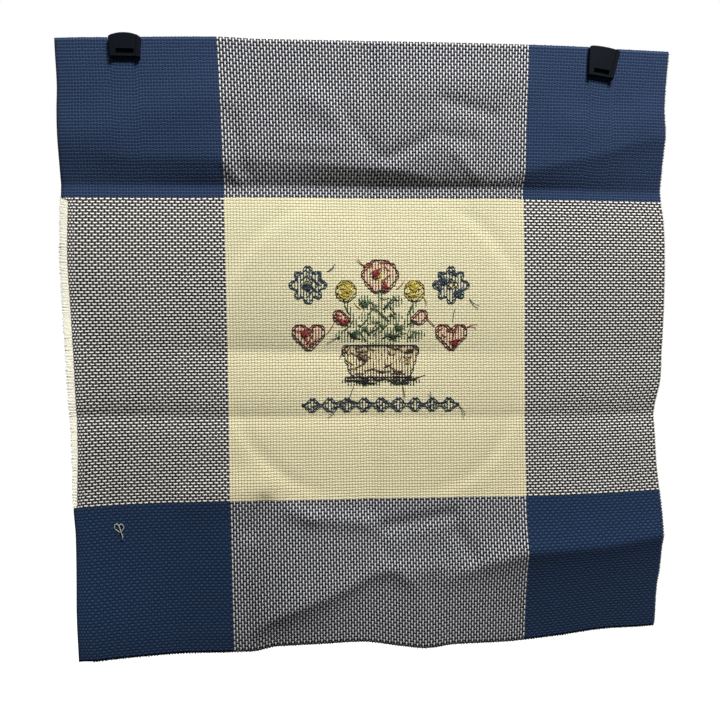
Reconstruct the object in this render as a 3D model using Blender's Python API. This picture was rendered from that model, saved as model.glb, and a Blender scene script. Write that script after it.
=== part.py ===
"""A square of woven cross-stitch cloth, hung face on by two plastic clips on its top edge.

Frame: +X to the viewer's right, +Y away from the viewer, +Z up, in metres. The origin is the
middle of the hanging line, level with the tops of the clips and in the plane of the cloth.

The cloth is one sheet. It is described by the flat piece first: `across` runs from its left edge
to its right, `down` runs from its top edge to its hem. Short tables then say where the flat
piece hangs, how uneven its edges are, and how deep its folds go.
"""

import math

import bmesh
import bpy
from mathutils import Matrix, Vector

MM = 0.001

# Driving dimensions of the cloth, in millimetres.
CLOTH_SIDE = 377.4  # 208 stitches at 14 to the inch, fringe included
CLOTH_THICKNESS = 1.0
FRINGE = 4.0  # unwoven weft ends along the left edge

# Flat stations of the four lines that the weave marks each way: an edge, two band lines, an edge.
ACROSS_STATIONS = (-188.7, -94.3, 96.0, 188.7)
DOWN_STATIONS = (0.0, 94.3, 283.0, 377.4)

# Where those lines cross when the cloth hangs. One row for each line down the cloth,
# with (x, z) at the left edge, the left band line, the right band line and the right edge.
HANG = (
    ((-189.1, -3.4), (-96.4, 0.0), (97.1, 0.3), (188.4, -1.7)),
    ((-189.4, -94.9), (-94.0, -94.4), (95.0, -94.7), (185.3, -96.0)),
    ((-187.6, -282.6), (-94.0, -282.1), (96.1, -285.9), (187.8, -284.9)),
    ((-188.1, -379.3), (-94.0, -378.1), (96.6, -381.7), (186.2, -378.1)),
)

# Unevenness of each edge: (place along the edge, how far it stands outside its smooth line).
LEFT_EDGE = (
    (0, 0.4), (27, -0.3), (43, 0.3), (94, 0.6), (134, 1.9), (186, 0.7),
    (224, 0.2), (250, -0.4), (283, 0.1), (300, -0.6), (341, -0.4), (377.4, -1.2),
)
RIGHT_EDGE = (
    (0, 0.4), (35, -0.3), (54, 1.1), (80, 1.4), (94, 2.0), (107, 3.5), (126, 3.9), (188, 2.2),
    (208, 1.2), (227, -2.4), (239, -3.2), (260, -3.0), (283, -1.3), (300, -0.3), (315, -0.6),
    (335, 0.0), (350, -0.8), (377.4, 0.3),
)
TOP_EDGE = (
    (-188.7, 0.0), (-158, -0.3), (-155, -1.5), (-143, -2.0), (-140, -0.3), (-94.3, -0.2),
    (-68, -1.3), (-38, -1.4), (-10, -1.3), (96, 0.0), (135.5, 0.3), (138.5, -2.6),
    (150.6, -3.6), (153.4, -0.1), (188.7, 0.0),
)
HEM = (
    (-188.7, -2.9), (-177, -1.2), (-160, -0.9), (-129, 0.7), (-94, 2.8), (-84, 2.8), (-66, -0.6),
    (-36, -1.5), (-14, -2.0), (13, 1.8), (30, 3.9), (50, 1.9), (83, 1.8), (96, 1.2), (120, -0.1),
    (150, -1.8), (188.7, 0.1),
)
EDGE_REACH = 45.0  # an uneven edge fades out this far into the cloth

# The folds that run across the cloth: three creases that are valleys seen from the front, and
# ridges, whose depth is under 0. One row for each station along the fold:
# (across, down, depth, reach above the fold, reach below it).
FOLDS = {
    "upper crease": (
        (-188.7, 86.6, 5.6, 22, 22), (-150, 86.7, 6.8, 18, 26), (-115, 86.9, 7.8, 14, 32),
        (-92, 87.2, 7.0, 12, 34), (-60, 87.4, 7.4, 12, 40), (-30, 87.6, 9.0, 12, 50),
        (5, 87.8, 9.6, 11, 60), (30, 87.8, 8.6, 9, 60), (55, 87.8, 6.6, 6.5, 55),
        (80, 87.8, 4.4, 4.5, 40), (100, 88.0, 5.2, 8, 32), (125, 88.1, 5.2, 11, 28),
        (150, 88.2, 5.4, 16, 26), (188.7, 88.2, 5.2, 24, 26),
    ),
    "upper left ridge": (
        (-188.7, 66.0, 0.0, 14, 8), (-155, 70.0, -1.0, 12, 7), (-93, 71.0, -1.4, 12, 8),
        (-60, 73.0, -1.4, 10, 8), (-30, 74.5, -2.2, 10, 7), (0, 76.0, -2.3, 9, 6),
        (25, 79.0, -1.5, 7, 5), (48, 85.0, 0.0, 6, 5), (188.7, 85.0, 0.0, 6, 5),
    ),
    "upper right ridge": (
        (-188.7, 84.0, 0.0, 10, 8), (60, 86.0, 0.0, 10, 6), (98, 77.0, -1.6, 12, 7),
        (146, 65.5, -2.4, 18, 9), (188.7, 54.0, -2.5, 20, 12),
    ),
    "middle crease": (
        (-188.7, 187.0, 0.5, 14, 14), (-130, 188.0, 1.1, 14, 15), (-75, 189.5, 3.2, 15, 16),
        (-20, 190.5, 2.6, 14, 15), (60, 190.5, 1.1, 12, 14), (120, 191.0, 0.5, 12, 14),
        (160, 192.0, 0.7, 14, 14), (188.7, 192.5, 1.2, 14, 12),
    ),
    "lower crease": (
        (-188.7, 227.3, 1.7, 4.5, 8), (-140, 228.5, 1.9, 5.5, 7), (-93, 230.7, 1.7, 7, 7),
        (-4, 231.0, 1.5, 7, 8), (50, 231.5, 1.2, 7, 9), (95, 231.5, 1.0, 6, 10),
        (140, 232.0, 2.2, 9, 12), (188.7, 232.2, 3.2, 16, 11),
    ),
    "hem ridge, left": (
        (-188.7, 366.0, 0.0, 20, 10), (-86, 366.0, -1.2, 26, 10), (-74, 360.0, -4.4, 34, 9),
        (-58, 353.0, -6.6, 44, 12), (-39, 346.0, -5.6, 44, 12), (-23, 339.5, -4.4, 34, 9),
        (-13, 335.0, -3.4, 24, 6), (-3, 330.0, -3.0, 18, 5), (8, 328.5, -3.0, 16, 5),
        (19, 336.0, -1.6, 10, 7), (34, 345.0, 0.0, 10, 8), (188.7, 345.0, 0.0, 10, 8),
    ),
    "hem ridge, right": (
        (-188.7, 338.0, 0.0, 8, 10), (30, 340.0, 0.0, 8, 10), (55, 330.0, -3.2, 12, 11),
        (76, 323.0, -6.4, 15, 15), (98, 318.0, -8.6, 24, 20), (148, 316.0, -8.8, 29, 22),
        (188.7, 312.5, -8.2, 26, 22),
    ),
}
FOLD_ROUND = 1.4  # the radius that the cloth keeps at the bottom of a fold

# The softer crumples: (from across, down, to across, down, height, half width). A positive
# height stands towards the viewer, and a negative one goes back.
CRUMPLES = (
    (-4, 8, -5, 290, -0.9, 6),
    (-150, 38, -100, 34, 1.4, 16),
    (-192, 56, -160, 58, 1.6, 14),
    (-89, 45, -81, 78, -1.1, 4.2),
    (-93, 74, -85, 84, 1.0, 3),
    (-57, 62, -26, 63, 0.9, 3.5),
    (-37, 37, -27, 43, 1.7, 8),
    (-21, 42, 0, 68, -1.2, 5),
    (8, 70, 29, 60, -1.8, 4.0),
    (34, 55, 62, 59, -1.1, 4),
    (44, 35, 74, 43, -1.3, 4.2),
    (50, 67, 64, 80, 1.0, 3.5),
    (20, 28, 90, 22, 1.0, 12),
    (128, 44, 172, 40, 1.6, 14),
    (-194, 180, -194, 400, 3.0, 15),
    (-115, 281, -76, 277, 1.6, 12),
    (-200, 374, -166, 376, 6.5, 44),
    (-118, 372, -106, 372, -3.6, 46),
    (-55, 290, -44, 294, 1.4, 5),
    (-44, 294, -9, 298, 1.6, 5),
    (-73, 284, -82, 303, -1.5, 5),
    (5, 301.5, 47, 294, -1.9, 4.5),
    (-1, 310, 8, 322, -1.0, 4),
    (51, 306, 61, 322, -1.6, 5),
    (22, 330, 38, 328, 1.6, 8),
    (-60, 120, 60, 150, 1.0, 40),
)
HEM_CURL = 2.0  # the loose hem hangs this far back from the plumb plane
HEM_CURL_FROM = 330.0

# The groove that an 8 inch embroidery hoop pressed into the middle panel.
HOOP_CENTRE = (0.0, 187.0)
HOOP_RADIUS = 101.0
HOOP_GROOVE = 0.42
HOOP_GROOVE_WIDTH = 4.5
HOOP_FADE = 14.0  # it was pressed out again beside the bands

# The sheet's mesh, closer where it folds and where the clips hold it: (from, to, steps).
DOWN_BANDS = (
    (0.0, 38.0, 4), (38.0, 80.0, 8), (80.0, 98.0, 4), (98.0, 176.0, 5), (176.0, 204.0, 4),
    (204.0, 222.0, 1), (222.0, 242.0, 5), (242.0, 286.0, 3), (286.0, 356.0, 11),
    (356.0, CLOTH_SIDE, 3),
)
ACROSS_BANDS = (
    (-188.7 + FRINGE, -163.0, 2), (-163.0, -135.0, 7), (-135.0, -92.0, 3), (-92.0, 80.0, 17),
    (80.0, 131.0, 4), (131.0, 150.6, 6), (150.6, 153.4, 1), (153.4, 160.0, 2),
    (160.0, 188.7, 3),
)

# The clips: name, x and z of the middle of the top, height, width at the top and at the foot,
# rise of the domed top, how pointed the dome is (1 is half an ellipse) and sideways lean in
# degrees.
CLIPS = (
    ("clip_left", -149.1, 0.0, 14.2, 18.7, 17.0, 2.8, 1.35, 0.0),
    ("clip_right", 145.3, -0.6, 18.8, 20.0, 16.6, 1.9, 0.7, 8.5),
)
CLIP_GAP = CLOTH_THICKNESS + 0.6  # 0.3 mm free on each side of the cloth
FRONT_JAW = 3.4
BACK_JAW = 2.6
BRIDGE = (10.0, 1.2)  # width and thickness of what joins the jaws over the cloth's top edge
RAIL = 2.3  # width of the raised rail down each side of the front jaw
RAIL_BELOW = 0.7  # how far the rails run on below the panel's lip
RAIL_FOOT = 2.0  # and how wide they are there
PANEL_DEPTH = 0.8
RECESS = (1.0, 2.8, 2.8)  # how far it stays inside the panel, its height and its depth
LIP = 1.5  # what is left under the recess
CLIP_EDGE = 0.45  # rounding of the moulded edges
CUT_PAST = 1.0  # how far a cutter runs past the face that it cuts
DOME_STEPS = 10
GRIP_FLAT = 22.0  # the cloth is held flat this far from the middle of a clip
GRIP_FADE = 52.0  # and has its full folds from here on


def steepness(table, index, column):
    """The slope of a table's column at one row, level at a peak or a dip so it never overshoots."""
    if index in (0, len(table) - 1):
        return 0.0
    before, here, after = table[index - 1:index + 2]
    rise_in = (here[column] - before[column]) / (here[0] - before[0])
    rise_out = (after[column] - here[column]) / (after[0] - here[0])
    if rise_in * rise_out <= 0.0:
        return 0.0
    return 2.0 * rise_in * rise_out / (rise_in + rise_out)


def between(table, place):
    """The columns after a table's first one, on a smooth curve through its rows."""
    index = min(max(sum(row[0] <= place for row in table) - 1, 0), len(table) - 2)
    start, end = table[index], table[index + 1]
    step = end[0] - start[0]
    share = min(max((place - start[0]) / step, 0.0), 1.0)
    ease = share * share * (3.0 - 2.0 * share)
    values = []
    for column in range(1, len(start)):
        value = start[column] + (end[column] - start[column]) * ease
        value += steepness(table, index, column) * step * share * (1.0 - share) ** 2
        value -= steepness(table, index + 1, column) * step * share * share * (1.0 - share)
        values.append(value)
    return values


def through(stations, place):
    """The weights of the cubic that passes through a value at each of the four stations."""
    weights = []
    for here in stations:
        weight = 1.0
        for other in stations:
            if other != here:
                weight *= (place - other) / (here - other)
        weights.append(weight)
    return weights


def fade(distance, reach):
    """1 at no distance, falling smoothly to 0 at the reach."""
    share = min(max(distance / reach, 0.0), 1.0)
    return (1.0 - share) ** 2 * (1.0 + 2.0 * share)


def plumb_place(across, down):
    """x and z of a point of the flat cloth where it hangs, in millimetres."""
    across_weights = through(ACROSS_STATIONS, across)
    down_weights = through(DOWN_STATIONS, down)
    x = 0.0
    z = 0.0
    for row, down_weight in zip(HANG, down_weights):
        for point, across_weight in zip(row, across_weights):
            x += point[0] * down_weight * across_weight
            z += point[1] * down_weight * across_weight
    left, right = ACROSS_STATIONS[0], ACROSS_STATIONS[-1]
    x -= between(LEFT_EDGE, down)[0] * fade(across - left, EDGE_REACH)
    x += between(RIGHT_EDGE, down)[0] * fade(right - across, EDGE_REACH)
    z += between(TOP_EDGE, across)[0] * fade(down, EDGE_REACH)
    z -= between(HEM, across)[0] * fade(CLOTH_SIDE - down, EDGE_REACH)
    return x, z


def fold_depth(rows, across, down):
    """How far back one fold across the cloth takes the point."""
    line, depth, above, below = between(rows, across)
    distance = down - line
    reach = below if distance > 0.0 else above
    rounded = math.hypot(distance, FOLD_ROUND) - FOLD_ROUND
    return depth * math.exp(-rounded / reach)


def crumple_height(row, across, down):
    """How far forward one soft crumple brings the point."""
    start = Vector(row[0:2])
    along = Vector(row[2:4]) - start
    point = Vector((across, down))
    share = min(max((point - start).dot(along) / along.length_squared, 0.0), 1.0)
    distance = (point - start - along * share).length
    return row[4] * math.exp(-((distance / row[5]) ** 2))


def hoop_height(across, down):
    """How far forward the hoop's groove brings the point, which is back, so under 0."""
    outside = math.hypot(across - HOOP_CENTRE[0], down - HOOP_CENTRE[1]) - HOOP_RADIUS
    left, right = ACROSS_STATIONS[1:3]
    top, foot = DOWN_STATIONS[1:3]
    past = max(top - down, down - foot, left - across, across - right)
    kept = fade(past + HOOP_FADE, HOOP_FADE)
    return -HOOP_GROOVE * kept * math.exp(-((outside / HOOP_GROOVE_WIDTH) ** 2))


def held_flat(x, z):
    """0 where a clip holds the cloth flat, 1 where it is free to fold."""
    free = 1.0
    for clip in CLIPS:
        distance = math.hypot(x - clip[1], z - clip[2] + clip[3] / 2)
        free *= 1.0 - fade(distance - GRIP_FLAT, GRIP_FADE - GRIP_FLAT)
    return free


def cloth_point(across, down):
    """A point of the cloth's middle layer, in metres."""
    x, z = plumb_place(across, down)
    depth = sum(fold_depth(rows, across, down) for rows in FOLDS.values())
    depth -= sum(crumple_height(row, across, down) for row in CRUMPLES)
    depth -= hoop_height(across, down)
    curl = min(max((down - HEM_CURL_FROM) / (CLOTH_SIDE - HEM_CURL_FROM), 0.0), 1.0)
    depth += HEM_CURL * curl * curl
    return Vector((x, depth * held_flat(x, z), z)) * MM


def material(name, colour, roughness):
    """A plain material, because the cloth and the plastic are neither metal nor glass."""
    made = bpy.data.materials.new(name)
    made.use_nodes = True
    shader = made.node_tree.nodes["Principled BSDF"]
    shader.inputs["Base Color"].default_value = (*colour, 1.0)
    shader.inputs["Roughness"].default_value = roughness
    shader.inputs["Metallic"].default_value = 0.0
    return made


def add_object(name, mesh_maker, surface):
    """One named sub-part made from a bmesh."""
    mesh = bpy.data.meshes.new(name)
    mesh_maker.to_mesh(mesh)
    mesh_maker.free()
    made = bpy.data.objects.new(name, mesh)
    made.data.materials.append(surface)
    bpy.context.scene.collection.objects.link(made)
    return made


def stepped(bands):
    """The places where the sheet has a line of points, from bands of (from, to, steps)."""
    places = [bands[0][0]]
    for start, end, steps in bands:
        places += [start + (end - start) * (step + 1) / steps for step in range(steps)]
    return places


def cloth():
    """The sheet, with the comb of its frayed left edge drawn out of its outermost row."""
    maker = bmesh.new()
    downs = stepped(DOWN_BANDS)
    acrosses = stepped(ACROSS_BANDS)
    grid = bmesh.ops.create_grid(
        maker, x_segments=len(acrosses) - 1, y_segments=len(downs) - 1, size=0.5)
    points = sorted(grid["verts"], key=lambda point: (-round(point.co.y, 4), point.co.x))
    for index, point in enumerate(points):
        row, column = divmod(index, len(acrosses))
        point.co = cloth_point(acrosses[column], downs[row])
    fringe_comb(maker, points[:: len(acrosses)], downs, acrosses[0])
    bmesh.ops.recalc_face_normals(maker, faces=maker.faces)
    sheet = add_object("cloth", maker, material("woven cotton", (0.61, 0.56, 0.38), 0.9))
    wall = sheet.modifiers.new("thickness", "SOLIDIFY")
    wall.thickness = CLOTH_THICKNESS * MM
    wall.offset = 0.0
    wall.use_even_offset = True
    return sheet


def fringe_comb(maker, edge_points, downs, first):
    """Draws every other half row of the left edge out to the ends of the frayed threads."""
    for index in range(len(edge_points) - 1):
        top, bottom = edge_points[index], edge_points[index + 1]
        side = maker.edges.get((top, bottom))
        middle_down = (downs[index] + downs[index + 1]) / 2
        middle = bmesh.utils.edge_split(side, top, 0.5)[1]
        middle.co = cloth_point(first, middle_down)
        half = maker.edges.get((middle, bottom))
        drawn = bmesh.ops.extrude_edge_only(maker, edges=[half])["geom"]
        ends = [item for item in drawn if isinstance(item, bmesh.types.BMVert)]
        ends.sort(key=lambda end: -end.co.z)
        for end, down in zip(ends, (middle_down, downs[index + 1])):
            end.co = cloth_point(ACROSS_STATIONS[0], down)


def clip_outline(height, top_width, foot_width, rise, point):
    """The clip seen from the front, from its foot round its domed top, with z 0 at its crown."""
    points = [Vector((-foot_width / 2, 0, -height)), Vector((foot_width / 2, 0, -height))]
    for step in range(DOME_STEPS + 1):
        turn = math.pi * step / DOME_STEPS
        x = top_width / 2 * math.cos(turn)
        points.append(Vector((x, 0, rise * abs(math.sin(turn)) ** point - rise)))
    return points


def box_cutter(name, low, high, spread=1.0):
    """A plain block that only cuts, its top wider than its foot by the share spread."""
    maker = bmesh.new()
    bmesh.ops.create_cube(maker, size=1.0)
    size = [end - start for start, end in zip(low, high)]
    centre = [(end + start) / 2 for start, end in zip(low, high)]
    shape = Matrix.Translation(Vector(centre) * MM) @ Matrix.Diagonal((*(Vector(size) * MM), 1.0))
    bmesh.ops.transform(maker, matrix=shape, verts=maker.verts)
    for point in maker.verts:
        if point.co.z > centre[2] * MM:
            point.co.x *= spread
    cutter = add_object(name, maker, material(name, (0.5, 0.5, 0.5), 0.5))
    cutter.hide_render = True
    cutter.display_type = "WIRE"
    return cutter


def clip(name, x, z, height, top_width, foot_width, rise, point, lean, plastic):
    """One moulded clip: two jaws joined by a bridge over the cloth's top edge."""
    front = -CLIP_GAP / 2 - FRONT_JAW
    back = CLIP_GAP / 2 + BACK_JAW
    maker = bmesh.new()
    corners = [maker.verts.new((corner + Vector((0, front, 0))) * MM)
               for corner in clip_outline(height, top_width, foot_width, rise, point)]
    face = maker.faces.new(corners)
    drawn = bmesh.ops.extrude_face_region(maker, geom=[face])["geom"]
    far = [item for item in drawn if isinstance(item, bmesh.types.BMVert)]
    bmesh.ops.translate(maker, verts=far, vec=(0, (back - front) * MM, 0))
    bmesh.ops.recalc_face_normals(maker, faces=maker.faces)
    rim = [edge for edge in maker.edges if abs(edge.verts[0].co.y - edge.verts[1].co.y) < 1e-6]
    bmesh.ops.bevel(maker, geom=rim, offset=CLIP_EDGE * MM, segments=2, profile=0.5,
                    affect="EDGES", material=-1)
    body = add_object(name, maker, plastic)
    foot = -height - CUT_PAST
    ahead = front - CUT_PAST
    side = BRIDGE[0] / 2
    gap = CLIP_GAP / 2
    panel = foot_width / 2 - RAIL
    wider = (top_width / 2 - RAIL) / panel
    lip_foot = -height + RAIL_BELOW
    recess_foot = lip_foot + LIP
    recess_top = recess_foot + RECESS[1]
    recess = panel - RECESS[0]
    between_rails = foot_width / 2 - RAIL_FOOT
    cuts = (
        ("gap", (-side - CUT_PAST, -gap, foot), (side + CUT_PAST, gap, -rise / 2 - BRIDGE[1]), 1),
        ("gap_left", (-top_width, -gap, foot), (-side, gap, CUT_PAST), 1),
        ("gap_right", (side, -gap, foot), (top_width, gap, CUT_PAST), 1),
        ("panel", (-panel, ahead, foot), (panel, front + PANEL_DEPTH, CUT_PAST), wider),
        ("foot", (-between_rails, ahead, foot), (between_rails, -gap / 2, lip_foot), 1),
        ("recess", (-recess, ahead, recess_foot), (recess, front + RECESS[2], recess_top), 1),
    )
    place = Matrix.Translation(Vector((x, 0, z)) * MM) @ Matrix.Rotation(math.radians(lean), 4, "Y")
    body.matrix_world = place
    for cut_name, low, high, spread in cuts:
        cutter = box_cutter(f"{name}_{cut_name}_cutter", low, high, spread)
        cutter.matrix_world = place
        cut = body.modifiers.new(cut_name, "BOOLEAN")
        cut.operation = "DIFFERENCE"
        cut.object = cutter
    return body


def main():
    for old in list(bpy.data.objects):
        bpy.data.objects.remove(old)
    cloth()
    plastic = material("black plastic", (0.006, 0.008, 0.014), 0.42)
    for row in CLIPS:
        clip(*row, plastic)


main()
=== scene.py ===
# %% [markdown]
# # A cross-stitch cloth, hung face on from two clips
#
# The object is a square of woven cotton with a stitched middle. It hangs from two plastic
# clips, with the back of the stitching towards the viewer. A construction model gives its
# size, its folds and its clips. This lesson dresses that model: the weave, the frayed edges,
# the stitches, the moulded clips, and then a plain studio to look at it in.
#
# Blender works in metres. A cloth is easier to think of in millimetres, so the sizes below
# are in millimetres and are turned to metres at the last moment.

# %% Load the construction model
import math
import random
from functools import lru_cache

import bmesh
import bpy
from mathutils import Matrix, Vector


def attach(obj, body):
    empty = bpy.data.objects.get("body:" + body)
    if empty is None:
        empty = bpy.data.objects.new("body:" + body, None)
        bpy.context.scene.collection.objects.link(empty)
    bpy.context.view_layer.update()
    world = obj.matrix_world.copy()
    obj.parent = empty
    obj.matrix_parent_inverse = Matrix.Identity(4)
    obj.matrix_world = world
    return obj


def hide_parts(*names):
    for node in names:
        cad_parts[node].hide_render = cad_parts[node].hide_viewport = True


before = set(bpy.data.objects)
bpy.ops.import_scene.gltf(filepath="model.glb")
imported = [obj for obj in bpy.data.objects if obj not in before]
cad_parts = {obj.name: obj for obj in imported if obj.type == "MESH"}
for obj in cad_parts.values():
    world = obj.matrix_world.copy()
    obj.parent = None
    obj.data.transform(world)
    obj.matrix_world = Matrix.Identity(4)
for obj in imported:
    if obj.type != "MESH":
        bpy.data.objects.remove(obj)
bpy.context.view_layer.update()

MM = 0.001
INCH = 25.4

# %% [markdown]
# ## The flat cloth
#
# A weaver would describe the cloth flat, before anyone hung it. `across` runs from its left
# edge to its right and `down` from its top edge to its hem. The weave marks two lines each
# way, where the yarn changes from navy to ecru and back, and everything else is placed from
# those lines. The threads are counted from them too, because cross-stitch is counted work:
# one cross covers one square of the weave.

# %% The flat cloth and its threads
CLOTH_THICKNESS = 0.8

ACROSS_STATIONS = (-188.7, -94.3, 96.0, 188.7)
DOWN_STATIONS = (0.0, 94.3, 283.0, 377.4)
LEFT, BAND_LEFT, BAND_RIGHT, RIGHT = ACROSS_STATIONS
TOP, BAND_TOP, BAND_FOOT, HEM = DOWN_STATIONS

WARPS = 104  # upright yarns between the two band lines
WEFTS = 103  # level yarns between the two band lines
LEFT_WARPS, RIGHT_WARPS = 49.5, 50.0  # and in the bands outside them
TOP_WEFTS, FOOT_WEFTS = 49.5, 50.5
WARP_PITCH = (BAND_RIGHT - BAND_LEFT) / WARPS
WEFT_PITCH = (BAND_FOOT - BAND_TOP) / WEFTS

print("squares to the inch:", round(INCH / WARP_PITCH, 1))

# %% [markdown]
# ## Where it hangs
#
# Hanging pulls a cloth out of square. Sixteen places say where: the crossings of the edges
# and the band lines. A cubic through four stations each way gives every place between, with
# no kink. The edges are raw, so each has its own short table of bumps, which fades out a
# little way into the cloth. The tables are the construction model's own, repeated here
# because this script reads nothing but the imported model.

# %% Smooth curves through short tables
def steepness(table, index, column):
    """The slope of a column at one row, level at a peak or a dip so it never overshoots."""
    if index in (0, len(table) - 1):
        return 0.0
    before, here, after = table[index - 1:index + 2]
    rise_in = (here[column] - before[column]) / (here[0] - before[0])
    rise_out = (after[column] - here[column]) / (after[0] - here[0])
    if rise_in * rise_out <= 0.0:
        return 0.0
    return 2.0 * rise_in * rise_out / (rise_in + rise_out)


@lru_cache(maxsize=None)
def between(table, place):
    """The columns after a table's first one, on a smooth curve through its rows."""
    index = min(max(sum(row[0] <= place for row in table) - 1, 0), len(table) - 2)
    start, end = table[index], table[index + 1]
    step = end[0] - start[0]
    share = min(max((place - start[0]) / step, 0.0), 1.0)
    ease = share * share * (3.0 - 2.0 * share)
    values = []
    for column in range(1, len(start)):
        value = start[column] + (end[column] - start[column]) * ease
        value += steepness(table, index, column) * step * share * (1.0 - share) ** 2
        value -= steepness(table, index + 1, column) * step * share * share * (1.0 - share)
        values.append(value)
    return values


@lru_cache(maxsize=None)
def through(stations, place):
    """The weights of the cubic that passes through a value at each of the four stations."""
    weights = []
    for here in stations:
        weight = 1.0
        for other in stations:
            if other != here:
                weight *= (place - other) / (here - other)
        weights.append(weight)
    return weights


def fade(distance, reach):
    """1 at no distance, falling smoothly to 0 at the reach."""
    share = min(max(distance / reach, 0.0), 1.0)
    return (1.0 - share) ** 2 * (1.0 + 2.0 * share)


print("half way along a fade:", fade(0.5, 1.0))

# %% The hang and the raw edges
# (x, z) at the left edge, the left band line, the right band line and the right edge.
HANG = (
    ((-189.1, -3.4), (-96.4, 0.0), (97.1, 0.3), (188.4, -1.7)),
    ((-189.4, -94.9), (-94.0, -94.4), (95.0, -94.7), (185.3, -96.0)),
    ((-187.6, -282.6), (-94.0, -282.1), (96.1, -285.9), (187.8, -284.9)),
    ((-188.1, -379.3), (-94.0, -378.1), (96.6, -381.7), (186.2, -378.1)),
)
# (place along the edge, how far it stands outside its smooth line)
LEFT_EDGE = (
    (0, 0.4), (27, -0.3), (43, 0.3), (94, 0.6), (134, 1.9), (186, 0.7),
    (224, 0.2), (250, -0.4), (283, 0.1), (300, -0.6), (341, -0.4), (377.4, -1.2),
)
RIGHT_EDGE = (
    (0, 0.4), (35, -0.3), (54, 1.1), (80, 1.4), (94, 2.0), (107, 3.5), (126, 3.9), (188, 2.2),
    (208, 1.2), (227, -2.4), (239, -3.2), (260, -3.0), (283, -1.3), (300, -0.3), (315, -0.6),
    (335, 0.0), (350, -0.8), (377.4, 0.3),
)
TOP_EDGE = (
    (-188.7, 0.0), (-158, -0.3), (-155, -1.5), (-143, -2.0), (-140, -0.3), (-94.3, -0.2),
    (-68, -1.3), (-38, -1.4), (-10, -1.3), (96, 0.0), (135.5, 0.3), (138.5, -2.6),
    (150.6, -3.6), (153.4, -0.1), (188.7, 0.0),
)
HEM_EDGE = (
    (-188.7, -2.9), (-177, -1.2), (-160, -0.9), (-129, 0.7), (-94, 2.8), (-84, 2.8), (-66, -0.6),
    (-36, -1.5), (-14, -2.0), (13, 1.8), (30, 3.9), (50, 1.9), (83, 1.8), (96, 1.2), (120, -0.1),
    (150, -1.8), (188.7, 0.1),
)
EDGE_REACH = 45.0  # an uneven edge fades out this far into the cloth


def plumb_place(across, down):
    """x and z of a point of the flat cloth where it hangs."""
    x = 0.0
    z = 0.0
    for row, down_weight in zip(HANG, through(DOWN_STATIONS, down)):
        for point, across_weight in zip(row, through(ACROSS_STATIONS, across)):
            x += point[0] * down_weight * across_weight
            z += point[1] * down_weight * across_weight
    x -= between(LEFT_EDGE, down)[0] * fade(across - LEFT, EDGE_REACH)
    x += between(RIGHT_EDGE, down)[0] * fade(RIGHT - across, EDGE_REACH)
    z += between(TOP_EDGE, across)[0] * fade(down, EDGE_REACH)
    z -= between(HEM_EDGE, across)[0] * fade(HEM - down, EDGE_REACH)
    return x, z


# (down, how far the weft ends stand out beyond the last warp of the left edge)
FRINGE_WIDTH = ((0, 4.0), (120, 4.0), (170, 4.2), (215, 4.0), (250, 3.2), (283, 2.2), (377.4, 2.6))
SELVEDGE = 3.2  # the last warps beside the fringe are thin ones
SELVEDGE_CLOSER = 2.2  # and lie this many times as close
NAVY_EDGE_TURN = 2.2  # the navy corners are woven out to the edge, ending in a short slant


def last_warp(down):
    """The flat place of the last warp of the left edge."""
    return LEFT + between(FRINGE_WIDTH, down)[0]


def woven_left(down):
    """How far left the weave reaches: to the edge in the corners, else to the last warp."""
    inside = min(down - BAND_TOP, BAND_FOOT - down)
    share = fade(NAVY_EDGE_TURN - inside, NAVY_EDGE_TURN)
    return LEFT + (last_warp(down) - LEFT) * share


def counted(place, near, far, threads):
    """Threads from a band line to a place, spread evenly between near and far."""
    return threads * (place - near) / (far - near)


def thread_count(across, down):
    """How many warps and wefts a flat place is from the band lines. The bands outside them
    stretched as they hung, so there the threads are counted where they hang."""
    x, z = plumb_place(across, down)
    warp = (across - BAND_LEFT) / WARP_PITCH
    weft = (down - BAND_TOP) / WEFT_PITCH
    if across < BAND_LEFT:
        fine = last_warp(down) + SELVEDGE
        start, end = plumb_place(BAND_LEFT, down)[0], plumb_place(fine, down)[0]
        warp = -counted(x, start, end, LEFT_WARPS)
        warp -= (SELVEDGE_CLOSER - 1.0) * max(fine - across, 0.0) / WARP_PITCH
    if across > BAND_RIGHT:
        start, end = plumb_place(BAND_RIGHT, down)[0], plumb_place(RIGHT, down)[0]
        warp = WARPS + counted(x, start, end, RIGHT_WARPS)
    if down < BAND_TOP:
        start, end = plumb_place(across, BAND_TOP)[1], plumb_place(across, TOP)[1]
        weft = -counted(z, start, end, TOP_WEFTS)
    if down > BAND_FOOT:
        start, end = plumb_place(across, BAND_FOOT)[1], plumb_place(across, HEM)[1]
        weft = WEFTS + counted(z, start, end, FOOT_WEFTS)
    return warp, weft


def flat_place(warp, weft):
    """The flat place of a count of threads from the band lines."""
    across = BAND_LEFT + warp * WARP_PITCH
    down = BAND_TOP + weft * WEFT_PITCH
    if warp < 0:
        across = BAND_LEFT + warp * (BAND_LEFT - LEFT - SELVEDGE - FRINGE_WIDTH[0][1]) / LEFT_WARPS
    if warp > WARPS:
        across = BAND_RIGHT + (warp - WARPS) * (RIGHT - BAND_RIGHT) / RIGHT_WARPS
    if weft < 0:
        down = BAND_TOP + weft * (BAND_TOP - TOP) / TOP_WEFTS
    if weft > WEFTS:
        down = BAND_FOOT + (weft - WEFTS) * (HEM - BAND_FOOT) / FOOT_WEFTS
    return across, down


print("top left corner hangs at", [round(value, 1) for value in plumb_place(LEFT, TOP)])

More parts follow.
